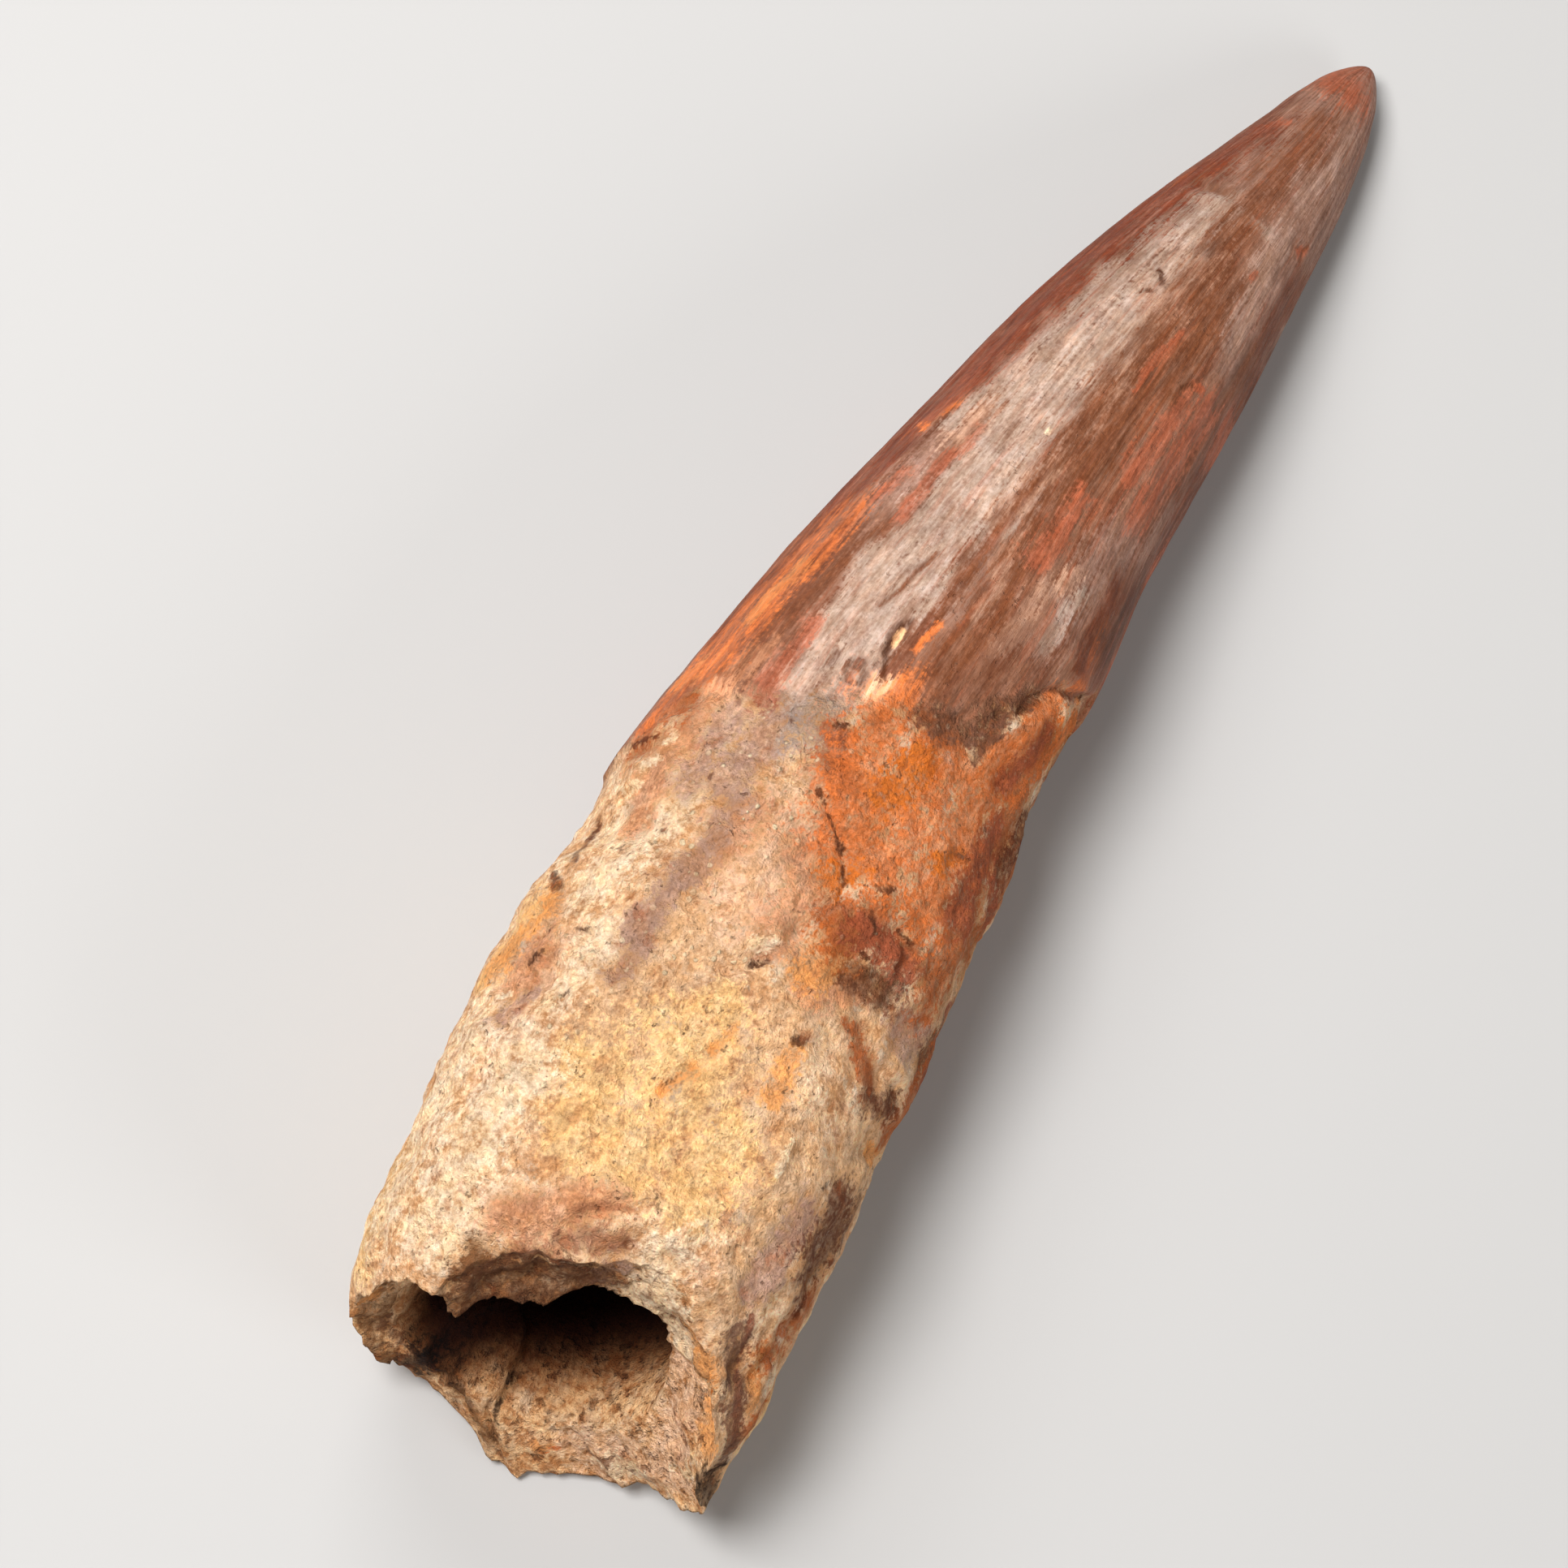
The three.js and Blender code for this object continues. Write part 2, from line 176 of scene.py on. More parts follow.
CAVITY_LUMP_HEIGHT, CAVITY_LUMP_SIZE = 0.8, 6
ENAMEL_EDGE_RAGGED, ENAMEL_EDGE_SIZE = 1.4, 3.5

# The ball's rows and columns. A run of rows has its start, its end and the number of rows. The columns
# crowd together on the upper side, by degrees, and the cavity's rows near the break, by a power.
AROUND = 224
CROWDING = 24
TIP_ROWS = 14
OUTSIDE_RUNS = [(TIP - TIP_ROUND, 122, 44), (122, 80, 80), (80, 40, 104), (40, LIP_REACH, 94)]
LIP_ROWS = 18
RIM_ROWS = 30
CAVITY_ROWS = 62
CAVITY_ROW_CROWDING = 1.5


def along(table, x):
    """A smooth curve through a table's points."""
    places, values = np.array(table, float).T
    slopes = np.gradient(values, places)
    slopes[1:-1] = (values[2:] - values[:-2]) / (places[2:] - places[:-2])
    x = np.clip(x, places[0], places[-1])
    i = np.clip(np.searchsorted(places, x) - 1, 0, len(places) - 2)
    step = places[i + 1] - places[i]
    t = (x - places[i]) / step
    return (
        (2 * t**3 - 3 * t**2 + 1) * values[i]
        + (t**3 - 2 * t**2 + t) * step * slopes[i]
        + (3 * t**2 - 2 * t**3) * values[i + 1]
        + (t**3 - t**2) * step * slopes[i + 1]
    )


def broken(table, angle):
    """Straight lines between a table's points, as a broken edge runs."""
    places, values = np.array(table, float).T
    return np.interp(angle, places, values)


def smoothstep(value, low, high):
    """0 below the low value, 1 above the high one, and an easy slope between them."""
    share = np.clip((value - low) / (high - low), 0, 1)
    return share * share * (3 - 2 * share)


def lumps(points, size, octaves=1):
    """Uneven lumps of about one size in mm, from -1 to 1."""
    return np.array([noise.fractal(p, 1, 2, octaves) for p in (points / size).tolist()])


def crumbs(points, size):
    """Packed rounded grains, about 0.4 at their tops and down to -0.6 in the cracks between them."""
    return np.array([0.4 - noise.voronoi(p)[0][0] for p in (points / size).tolist()])


def spot(x, angle, radius, place, lean):
    """How far each point is from a place, in shares of its half length and half width."""
    at, degrees, half_length, half_width = place
    dx = x - at
    dg = np.radians((angle - degrees + 180) % 360 - 180) * radius
    length = dx * math.cos(lean) + dg * math.sin(lean)
    width = dg * math.cos(lean) - dx * math.sin(lean)
    return np.hypot(length / half_length, width / half_width)


def nearness(x, angle, radius, half_width, points):
    """1 along a line through the points, falling off over its half width."""
    gap = np.full(len(x), 1000.0)
    for (x0, angle0), (x1, angle1) in zip(points, points[1:] or points):
        dx = x - x0
        dg = np.radians((angle - angle0 + 180) % 360 - 180) * radius
        run, climb = x1 - x0, math.radians(angle1 - angle0) * radius
        share = np.clip((dx * run + dg * climb) / np.maximum(run * run + climb * climb, 1e-9), 0, 1)
        gap = np.minimum(gap, np.hypot(dx - share * run, dg - share * climb))
    return np.exp(-((gap / half_width) ** 2))


def relief(x, angle, radius, straight):
    """Height of the weathered surface over the smooth form."""
    crown = smoothstep(x - enamel_end(angle, straight), -0.5, 0.5)
    crumbling = sum(nearness(x, angle, radius, *stretch) for stretch in CRUMBLING)
    crust = sum(rise * lumps(straight, size, octaves) for rise, size, octaves in ROOT_LUMPS)
    grain = (GRAIN_LUMPS[0] + GRAIN_LUMPS[1] * crumbling) * lumps(straight, GRAIN_SIZE, 3)
    grain += (GRAIN_CRUMBS[0] + GRAIN_CRUMBS[1] * crumbling) * crumbs(straight, GRAIN_SIZE)
    sand_pits = smoothstep(lumps(straight + 40, SAND_PIT_SIZE, 2), 0.35, 0.6)
    sand_pits *= SAND_PIT_DEPTH[0] + SAND_PIT_DEPTH[1] * crumbling
    growth_lines = sum(
        rise * lumps(straight * [stretch, 1, 1], size, octaves)
        for rise, stretch, size, octaves in GROWTH_LINES
    )
    height = ENAMEL_STEP * crown + growth_lines * crown + (crust + grain - sand_pits) * (1 - crown)
    to_rim = np.clip((x - broken(RIM_OUTSIDE, angle)) / LIP_REACH, 0, 1)
    height -= broken(RIM_LIP, angle) * (1 - to_rim) ** 2
    for *place, rise, turn in MARKS:
        height += rise * np.exp(-spot(x, angle, radius, place, math.radians(turn)) ** 2)
    for rise, half_width, points in SCARS:
        height += rise * nearness(x, angle, radius, half_width, points)
    return height * (1 - smoothstep(x, TIP - 2 * TIP_ROUND, TIP - 0.3 * TIP_ROUND))


def enamel_end(angle, straight):
    """Where the enamel ends, ragged as it flaked."""
    ragged_edge = ENAMEL_EDGE_RAGGED * lumps(straight * [0.3, 1, 1], ENAMEL_EDGE_SIZE, 2)
    return broken(ENAMEL_END, angle) + ragged_edge


def outside(x, angle):
    """The outside: an oval section, flatter underneath, with its relief."""
    phi = np.radians(angle)
    front, back = along(FRONT, x), along(BACK, x)
    upper, under = along(UPPER, x), along(UNDER, x)
    past = np.clip((x - (TIP - TIP_ROUND)) / TIP_ROUND, 0, 1)
    cap = np.sqrt(1 - past * past)
    half_width, half_height = (front - back) / 2 * cap, (upper - under) / 2 * cap
    sine = np.sin(phi)
    flatter = np.where(sine < 0, -(np.abs(sine) ** UNDER_FLATNESS), sine)
    radius = (half_width + half_height) / 2
    straight = np.stack([x, radius * np.cos(phi), radius * sine], 1)
    height = relief(x, angle, radius, straight)
    normal = np.stack([np.cos(phi) * half_height, sine * half_width], 1)
    normal /= np.maximum(np.linalg.norm(normal, axis=1, keepdims=True), 1e-9)
    y = (front + back) / 2 + half_width * np.cos(phi) + height * normal[:, 0]
    z = (upper + under) / 2 + half_height * flatter + height * normal[:, 1]
    return np.stack([x, y, z], 1)


def inside(x, angle):
    """The pulp cavity's wall, with the clot of sandstone that still sticks to it."""
    phi = np.radians(angle)
    taper = np.sqrt(np.maximum(0, 1 - (x / CAVITY_DEPTH) ** 2))
    wall = np.stack([x, CAVITY_HALF_HEIGHT * np.cos(phi), CAVITY_HALF_HEIGHT * np.sin(phi)], 1)
    reach = np.hypot((x - CLOT_ALONG) / CLOT_HALF_LENGTH, (angle - CLOT_ANGLE) / CLOT_HALF_ANGLE)
    clot = CLOT_THICK * (1 - smoothstep(reach + 0.2 * lumps(wall, 2.5, 2), 0.88, 1))
    rough = np.maximum(0.25 + 0.75 * (1 - smoothstep(x, *CAVITY_EDGE_ROUGH)), clot / CLOT_THICK)
    grain = rough * (0.35 * lumps(wall, 1.6, 3) + 0.6 * crumbs(wall, 1.4))
    uneven = CAVITY_LUMP_HEIGHT * lumps(wall, CAVITY_LUMP_SIZE) + grain
    shrink = uneven * np.minimum(1, 2 * taper) - clot
    y = CAVITY_Y + (CAVITY_HALF_WIDTH * taper + shrink) * np.cos(phi)
    z = CAVITY_Z + (CAVITY_HALF_HEIGHT * taper + shrink) * np.sin(phi)
    return np.stack([x, y, z], 1)


def rim_edges(angle):
    """The outer and the inner edge of the break, chipped into small teeth."""
    ring = np.stack([np.cos(np.radians(angle)), np.sin(np.radians(angle)), 0 * angle], 1) * MEAN_RADIUS
    outer_edge = broken(RIM_OUTSIDE, angle) + OUTER_CHIP_DEPTH * lumps(ring, OUTER_CHIP_SIZE, 3)
    inner_edge = broken(RIM_INSIDE, angle) + INNER_CHIP_DEPTH * lumps(ring + 9, INNER_CHIP_SIZE, 3)
    return outer_edge, inner_edge


def rim(share, angle):
    """The broken face. The more it is scooped, the deeper it runs in behind its outer edge."""
    outer_edge, inner_edge = rim_edges(angle)
    outer, inner = outside(outer_edge, angle), inside(inner_edge, angle)
    scoop = broken(RIM_SCOOP, angle)
    corner = outer + (inner - outer) * (0.15 + 0.5 * scoop)[:, None]
    corner[:, 0] = inner_edge + (outer_edge - inner_edge) * scoop
    t = share[:, None]
    break_face = (1 - t) ** 2 * outer + 2 * t * (1 - t) * corner + t**2 * inner
    push = np.stack([lumps(break_face + shift, BREAK_LUMP_SIZE, 4) for shift in (0, 31, 57)], 1)
    push *= BREAK_LUMP_HEIGHT
    outward = break_face - [0, CAVITY_Y, CAVITY_Z]
    outward[:, 0] = -BREAK_GRAINS_BACKWARD
    outward /= np.linalg.norm(outward, axis=1, keepdims=True)
    sandier = 1 + np.exp(-(((angle - SANDY_ANGLE) / SANDY_HALF_ANGLE) ** 2))
    grains = BREAK_GRAIN_HEIGHT * crumbs(break_face, BREAK_GRAIN_SIZE)
    grains += BREAK_SAND_HEIGHT * sandier * crumbs(break_face + 5, BREAK_SAND_SIZE)
    return break_face + (np.sin(np.pi * share) ** 0.7)[:, None] * (push + grains[:, None] * outward)


stations = [TIP - TIP_ROUND + TIP_ROUND * math.cos(math.pi / 2 * k / TIP_ROWS) for k in range(TIP_ROWS + 1)]
for start, end, rows in OUTSIDE_RUNS:
    stations += list(np.linspace(start, end, rows + 1)[1:])
stations += list(np.linspace(LIP_REACH, 0, LIP_ROWS + 1)[1:])
stations = np.array(stations)
ROWS = len(stations) - 1 + RIM_ROWS + CAVITY_ROWS

shell = bmesh.new()
bmesh.ops.create_uvsphere(shell, u_segments=AROUND, v_segments=ROWS, radius=1)
ball = np.array([v.co for v in shell.verts], float)
row = np.rint(np.arccos(np.clip(ball[:, 2], -1, 1)) / math.pi * ROWS).astype(int)
turn = np.degrees(np.arctan2(ball[:, 1], ball[:, 0]))
angle = (turn + CROWDING * np.cos(np.radians(turn))) % 360

shape = np.zeros_like(ball)
along_skin = np.zeros(len(ball))
outer_rows = row < len(stations)
rim_rows = (row >= len(stations)) & (row < len(stations) + RIM_ROWS)
cavity_rows = row >= len(stations) + RIM_ROWS
outer_edge, inner_edge = rim_edges(angle)

station = stations[row[outer_rows]]
edge = outer_edge[outer_rows]
along_skin[outer_rows] = np.where(station < ROOT_END, edge + (ROOT_END - edge) * station / ROOT_END, station)
shape[outer_rows] = outside(along_skin[outer_rows], angle[outer_rows])
share = (row[rim_rows] - len(stations) + 1) / (RIM_ROWS + 1)
shape[rim_rows] = rim(share, angle[rim_rows])
along_skin[rim_rows] = outer_edge[rim_rows] - BREAK_DEPTH * share
deeper = (row[cavity_rows] - len(stations) - RIM_ROWS) / CAVITY_ROWS
lip = inner_edge[cavity_rows]
depth = (CAVITY_DEPTH - lip) * np.sin(deeper**CAVITY_ROW_CROWDING * math.pi / 2)
shape[cavity_rows] = inside(lip + depth, angle[cavity_rows])
along_skin[cavity_rows] = outer_edge[cavity_rows] - BREAK_DEPTH - depth
shape[:, 2] = np.maximum(shape[:, 2], 0)

cad_low, cad_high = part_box("tooth")
low, high = shape.min(0), shape.max(0)
placed = shape - [(low[0] + high[0]) / 2, (low[1] + high[1]) / 2, 0]
placed = placed / 1000 + [(cad_low.x + cad_high.x) / 2, (cad_low.y + cad_high.y) / 2, cad_low.z]
for vertex, place in zip(shell.verts, placed):
    vertex.co = place
for face in shell.faces:
    face.smooth = True
tooth_mesh = bpy.data.meshes.new("fossil_tooth")
shell.to_mesh(tooth_mesh)
shell.free()
tooth = bpy.data.objects.new("fossil_tooth", tooth_mesh)
bpy.context.scene.collection.objects.link(tooth)
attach(tooth, "root")
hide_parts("tooth")

# Stains, from the lowest to the uppermost: the colour as it is seen, and strokes of a half width through
# points; some strokes are painted shade, and some painted light, as noted at them. From the edge of the
# break, points run down across it for BREAK_DEPTH and on into the cavity.
STAINS = {
    "tan": ((236, 200, 160), [
        (3.5, [(16, 124), (28, 126)]), (2.2, [(28, 104), (38, 108)]), (3, [(40, 112), (39, 130)]),
        (4, [(28, 62), (38, 72)]), (3, [(31, 146), (35, 166)]), (2, [(18, 32), (27, 36)]),
        (3, [(47, 152), (54, 172)]), (3, [(2, 115), (2, 140)]), (4, [(10, 220), (30, 235)]),
    ]),
    "ochre": ((254, 218, 158), [
        (4, [(20, 82), (32, 88)]), (3.4, [(20, 102), (26, 108)]), (2.4, [(32, 84), (35, 91)]),
        (3, [(5, 12), (14, 14)]), (2.6, [(30, 12), (36, 22)]), (3.4, [(20, 68), (26, 70)]),
        (3.4, [(10, 190), (34, 200)]), (3, [(12, 330), (30, 340)]), (2, [(18, 245), (30, 255)]),
    ]),
    "peach": ((250, 212, 178), [
        (3.2, [(43, 80), (51, 86)]), (2.2, [(52, 84), (56, 86)]), (1.4, [(64, 84), (66, 86)]),
        (1.6, [(15, 103), (17, 116)]), (3, [(22, 40), (32, 46)]), (2.6, [(0, 200), (1, 240)]),
        (3, [(-2, 152), (-4, 190)]), (3, [(-1, 204), (-3, 238)]),
    ]),
    "straw": ((255, 236, 204), [
        (4, [(9, 22), (24, 24)]), (3.4, [(8, 42), (24, 48)]), (2.2, [(28, 50), (34, 52)]),
        (2.6, [(38, 40), (46, 46)]), (1.8, [(42, 24), (46, 32)]), (1.8, [(46, 50), (50, 54)]),
        # The first and the last stroke on this line are partly painted light, brightening the steep break
        # face from 104 to 118 degrees.
        (3.4, [(12, 108), (6, 118)]), (2.4, [(4, 128), (1, 144)]), (2.2, [(14, 104), (17, 110)]),
        (2, [(1, 222), (0, 236)]),
    ]),
    "clay": ((222, 166, 128), [
        (2, [(11, 63), (14, 74), (17, 86)]), (2.6, [(42, 96), (50, 92)]), (2.4, [(44, 66), (50, 70)]),
        (2, [(53, 92), (56, 84)]), (2, [(34, 34), (30, 33)]), (2, [(40, 108), (42, 118)]),
        # The last stroke on this line is partly painted shade along a low ridge at 38 to 40 degrees.
        (1.8, [(58, 36), (64, 44)]), (1.8, [(46, 38), (58, 40)]),
    ]),
    "honey": ((244, 176, 108), [
        (2.2, [(31, 16), (36, 27)]), (0.6, [(26.6, 86), (29, 91)]), (0.5, [(31, 93), (34, 96)]),
        (2, [(41, 106), (45, 112)]), (1.6, [(60, 18), (61.5, 24)]), (1.2, [(14.5, 152), (11, 159)]),
        (2.2, [(10, 130), (7.8, 138), (5.6, 146), (3.6, 154), (2.6, 160)]),
        (0.7, [(33.4, 158), (34.6, 172)]), (1.4, [(68, 31), (74, 34)]), (2.4, [(72, 152), (76, 166)]),
        (0.6, [(-3.2, 253), (-4.4, 257)]), (1, [(35, 112), (30, 114)]), (1.6, [(1.5, 2), (-3, 6)]),
    ]),
    "grey": ((190, 154, 136), [
        (2.4, [(52, 60), (60, 66)]), (1.6, [(50, 50), (58, 50)]), (2.2, [(42.4, 141), (43.4, 151)]),
        (1.5, [(17, 133), (25, 136)]), (1.2, [(26, 36), (29, 40)]), (1.6, [(12, 98), (6, 97)]),
        (1.2, [(36, 62), (42, 64)]), (3, [(60, 240), (70, 270)]),
    ]),
    "mauve": ((148, 119, 107), [
        (2, [(80, 46), (90, 46)]), (2.8, [(78, 118), (92, 136)]),
        (1.8, [(129.7, 114), (126, 123), (121, 126), (112.5, 134)]), (1.6, [(112, 138), (126, 135)]),
        (4, [(129, 62), (144, 74)]), (4, [(130, 112), (145, 128)]), (4, [(132, 150), (144, 150)]),
        (2.8, [(92, 160), (108, 164)]), (1.4, [(75, 90), (92, 94)]), (1.4, [(98, 46), (106, 50)]),
        (2.5, [(84, 215), (104, 235)]), (2.5, [(96, 290), (118, 300)]),
    ]),
    "fawn": ((182, 148, 128), [
        (2.4, [(98, 58), (106, 68)]), (2.6, [(104, 80), (120, 84)]), (2, [(91, 52), (98, 56)]),
        (1.6, [(62, 62), (78, 62)]), (0.8, [(80, 94), (106, 92)]), (0.6, [(76, 98), (86, 97)]),
        (2, [(86, 82), (98, 80)]), (1.4, [(75, 110), (85, 120)]), (0.8, [(127, 120), (116, 130)]),
        (1.8, [(42, 64), (50, 66)]), (1.6, [(33, 62), (38, 64)]),
    ]),
    # Grey enamel, partly a painted highlight: the broad band from 56 to 80 degrees on the crown stands in
    # for a softbox's sheen.
    "silver_grey_and_sheen": ((172, 156, 146), [
        (2.6, [(62, 64), (84, 64)]), (2.6, [(60, 74), (84, 76)]), (2.8, [(84, 66), (100, 68)]),
        (3, [(98, 56), (110, 58)]), (2.2, [(84, 76), (100, 79)]), (2.6, [(98, 58), (108, 62)]),
        (2.6, [(98, 74), (110, 76)]), (2.8, [(108, 56), (126, 56)]), (2.6, [(108, 71), (127, 71)]),
        (0.8, [(92, 44), (98, 48), (104, 54)]), (0.6, [(84, 92), (90, 96)]), (1.1, [(78, 121), (84, 127)]),
        (1.2, [(118, 170), (122, 174)]), (1.5, [(90, 230), (110, 240)]),
        (0.4, [(93, 43), (98, 46), (101, 51), (105, 55), (108, 64)]),
        (0.65, [(127.6, 50), (127, 60), (127.3, 84), (127.2, 110)]),
        (0.3, [(145, 62), (145.8, 75), (145.8, 95), (146.4, 110)]),
    ]),
    "brown": ((114, 69, 44), [
        # The first stroke is partly painted shade, just under the lip of the break.
        (1.3, [(5.6, 56), (8, 64), (9.4, 76), (11, 88)]), (1.6, [(65, 48), (80, 50)]),
        (1.8, [(62, 40), (68, 45)]), (1, [(74, 87), (98, 88)]), (2.4, [(89, 96), (120, 98)]),
        (2, [(96, 108), (120, 112)]), (2.4, [(66, 98), (76, 104)]), (2, [(122, 90), (142, 92)]),
        (2.4, [(100, 158), (116, 156)]), (3, [(66, 108), (72, 121)]), (3, [(30, 190), (44, 200)]),
        (1.8, [(43.6, 118), (44.6, 131)]), (2.2, [(43, 163), (46, 171)]), (3, [(76, 250), (100, 262)]),
        (3, [(104, 320), (130, 330)]), (0.25, [(72.4, 70), (76, 73), (79.4, 75)]),
        (2.4, [(78, 101), (94, 104)]), (2.2, [(108, 110), (120, 112)]),
    ]),
    "sienna": ((184, 102, 52), [
        (3.4, [(55, 20), (64, 27)]), (4, [(66, 20), (80, 24)]), (1.4, [(66, 35), (80, 37)]),
        (3.6, [(48, 148), (64, 152)]), (3, [(54, 164), (60, 172)]), (2.4, [(15, 156), (21, 168)]),
        (3, [(66, 146), (72, 152)]), (1.6, [(92, 26), (94, 36)]), (1.2, [(78, 149), (84, 150)]),
        (1.4, [(129, 32), (131, 38)]), (3, [(38, 168), (44, 176)]), (5, [(44, 200), (64, 215)]),
        (4, [(50, 320), (66, 335)]), (2.6, [(72, 190), (92, 200)]), (1.6, [(9.6, 168), (12, 172)]),
        (2.6, [(45.6, 108), (49.6, 118), (48, 131)]), (1.2, [(39, 124), (38, 140)]),
    ]),
    "chestnut": ((104, 54, 30), [
        (4, [(84, 16), (104, 20)]), (3.4, [(99, 32), (112, 34)]), (3.4, [(106, 18), (128, 24)]),
        (2.4, [(117, 40), (127, 42)]), (2.4, [(130, 44), (140, 38)]), (1.6, [(66, 14), (80, 15)]),
        (0.4, [(53.2, 14), (53.6, 30)]), (2.6, [(23, 146), (27.4, 150)]), (2.4, [(21, 155), (28, 162)]),
        (2, [(80, 142), (88, 145)]), (1.7, [(37, 142), (37.4, 156)]), (2, [(118, 158), (126, 158)]),
        (2.6, [(62, 162), (66, 172)]), (3, [(82, 158), (92, 170)]), (5, [(88, 345), (130, 345)]),
        (4, [(84, 0), (124, 2)]), (0.5, [(46.6, 16), (41, 27)]), (1.2, [(132, 25), (144, 30)]),
        (0.6, [(26, 152), (19, 160)]), (2.4, [(96, 172), (120, 174)]),
    ]),
    "salmon": ((162, 95, 70), [
        (1.3, [(60, 55), (68, 56)]), (0.7, [(81, 55), (93, 56.5)]), (2.2, [(94, 136), (108, 140)]),
        (1.4, [(96, 122), (106, 125)]), (1.4, [(84, 106), (92, 110)]), (3.4, [(150, 44), (150, 92)]),
        (0.6, [(139, 44), (140, 56)]), (1.6, [(93, 28), (98, 32)]), (1.6, [(106, 172), (110, 166)]),
        (2, [(47, 120), (47, 130)]), (1.4, [(42, 174), (50, 178)]), (1.4, [(56, 88), (60, 82)]),
    ]),
    "rose": ((154, 127, 115), [
        (2.4, [(148.6, 114), (149.6, 152)]), (1.5, [(133, 118), (143, 126)]),
        (1.3, [(129.6, 114), (126, 122), (121, 126), (115, 131)]),
    ]),
    "mahogany": ((112, 52, 28), [
        (4, [(84, 13), (104, 16)]), (3, [(99, 29), (112, 31)]), (3.6, [(106, 15), (128, 20)]),
        (2.2, [(116, 36), (127, 37)]), (2, [(130, 40), (138, 36)]), (2.6, [(84, 26), (90, 28)]),
    ]),
    "orange": ((220, 126, 66), [
        (4, [(54, 97), (64, 94)]), (4, [(53, 112), (63, 112)]), (4, [(53, 130), (66, 136)]),
        (3, [(63, 104), (64, 126)]), (2.6, [(68, 137), (74, 143)]), (2, [(70, 152), (76, 162)]),
        (0.4, [(70, 88), (73.4, 89.4)]), (0.5, [(91.4, 36), (92, 28)]), (0.3, [(-2.4, 250), (-2.8, 254)]),
    ]),
    "amber": ((216, 122, 46), [
        (1.8, [(58, 102), (62, 106)]), (1.4, [(48.6, 99), (50.8, 103)]), (0.7, [(9.4, 137), (7.4, 144)]),
        (1.2, [(56, 126), (58, 134)]),
    ]),
    "rust": ((160, 88, 60), [
        (2.4, [(54, 143), (62, 148)]), (1.4, [(66, 140), (72, 147)]), (0.7, [(82, 42), (86, 44)]),
        (0.5, [(15.6, 138), (12.4, 147), (9.6, 155), (7.8, 166)]), (0.3, [(86, 104), (89, 107)]),
        (0.5, [(106, 99), (109, 101)]), (0.5, [(108, 125), (108.6, 128)]), (2, [(70, 176), (96, 182)]),
        (2, [(100, 200), (125, 210)]), (3, [(80, 320), (100, 330)]), (1, [(59.6, 158), (56.6, 170)]),
        (1.4, [(46, 110), (48, 126)]), (0.3, [(90, 106), (92.6, 107)]), (0.25, [(103.6, 100), (107, 101)]),
        (0.25, [(108.6, 102), (112, 103)]), (0.3, [(121.8, 118), (122.4, 119)]),
        (0.6, [(128.4, 140), (129.2, 146)]), (2.4, [(147.4, 66), (147, 94)]),
    ]),
    # Dark cracks, and painted shade: under the lip, beside a long pit and on the far flank of the crown.
    "umber_and_shade": ((88, 54, 36), [
        (0.35, [(31, 33), (32, 38)]), (0.35, [(33.6, 32), (34.6, 36)]), (0.3, [(34.6, 44), (35, 49)]),
        (0.35, [(29.6, 51), (30, 52.6)]), (0.25, [(27.2, 86), (28, 88)]), (0.25, [(54.9, 84), (54.2, 88)]),
        (0.2, [(53.6, 90), (52.9, 95)]), (0.35, [(52.5, 97), (51.9, 99.4)]),
        (0.2, [(51, 101.6), (49.2, 103.6)]), (0.25, [(50.4, 112), (51.2, 117)]),
        (0.25, [(48.2, 114), (47.2, 118)]), (0.25, [(49.2, 125), (48.8, 130)]),
        (0.25, [(45.2, 117), (44.8, 120)]), (0.3, [(38.8, 91), (39.8, 95)]),
        (0.35, [(71.5, 129.5), (75.2, 136), (77.2, 150), (78.5, 162)]), (0.45, [(66.4, 74.4), (67, 76.6)]),
        (0.3, [(66.4, 78.8), (65.2, 79)]), (0.35, [(64.9, 75.6), (65.6, 73.8)]),
        (0.3, [(72.4, 81.6), (71.8, 80), (70, 79.6), (68.6, 80.8)]), (0.25, [(72.2, 82.6), (70.6, 83.6)]),
        # The first stroke on this line is a painted shadow beside the long pit.
        (0.3, [(68.6, 81.8), (67.4, 83.8), (66.6, 85.6)]), (0.35, [(65.6, 68), (66.8, 68.4)]),
        (0.3, [(114, 73), (114.4, 78)]), (0.3, [(117, 70), (116.2, 76), (115.6, 81)]),
        (0.25, [(119, 70), (120, 72)]), (0.3, [(121, 89), (122.4, 87)]),
        (0.3, [(104.6, 59), (104.8, 60.5)]), (0.3, [(107.2, 118), (108, 124)]),
        # The first stroke on this line is painted shade under the lip of the break.
        (1.6, [(3, 57), (6, 68), (7.4, 78), (8.6, 90)]), (0.4, [(35.6, 111), (36, 113)]),
        (0.3, [(27.6, 138), (28, 140)]), (0.25, [(60.6, 80), (61.2, 83)]), (0.6, [(39.6, 22), (38, 28)]),
        # The last stroke on this line is a painted shadow on the far flank of the crown.
        (0.4, [(83.6, 155), (83, 166)]), (3, [(84, 158), (90, 170)]),
    ]),
    "plum": ((120, 84, 66), [
        (3, [(67, 111), (73, 122)]), (1.8, [(66, 106), (70, 110)]), (1.6, [(14, 136), (12.4, 141)]),
        (2, [(12.6, 142), (10.4, 149)]), (1.2, [(9.6, 152), (8.4, 158), (7.4, 166), (6.6, 178)]),
        (0.4, [(46, 50)]), (0.4, [(51.8, 56)]), (0.35, [(59.3, 48)]), (0.35, [(59.2, 69)]),
        (0.4, [(28.6, 37.5)]), (1.6, [(76, 114), (80, 118)]), (0.7, [(66, 124), (70, 127)]),
        (0.7, [(58, 134)]), (0.6, [(129.2, 50), (128.8, 60), (129, 70)]),
    ]),
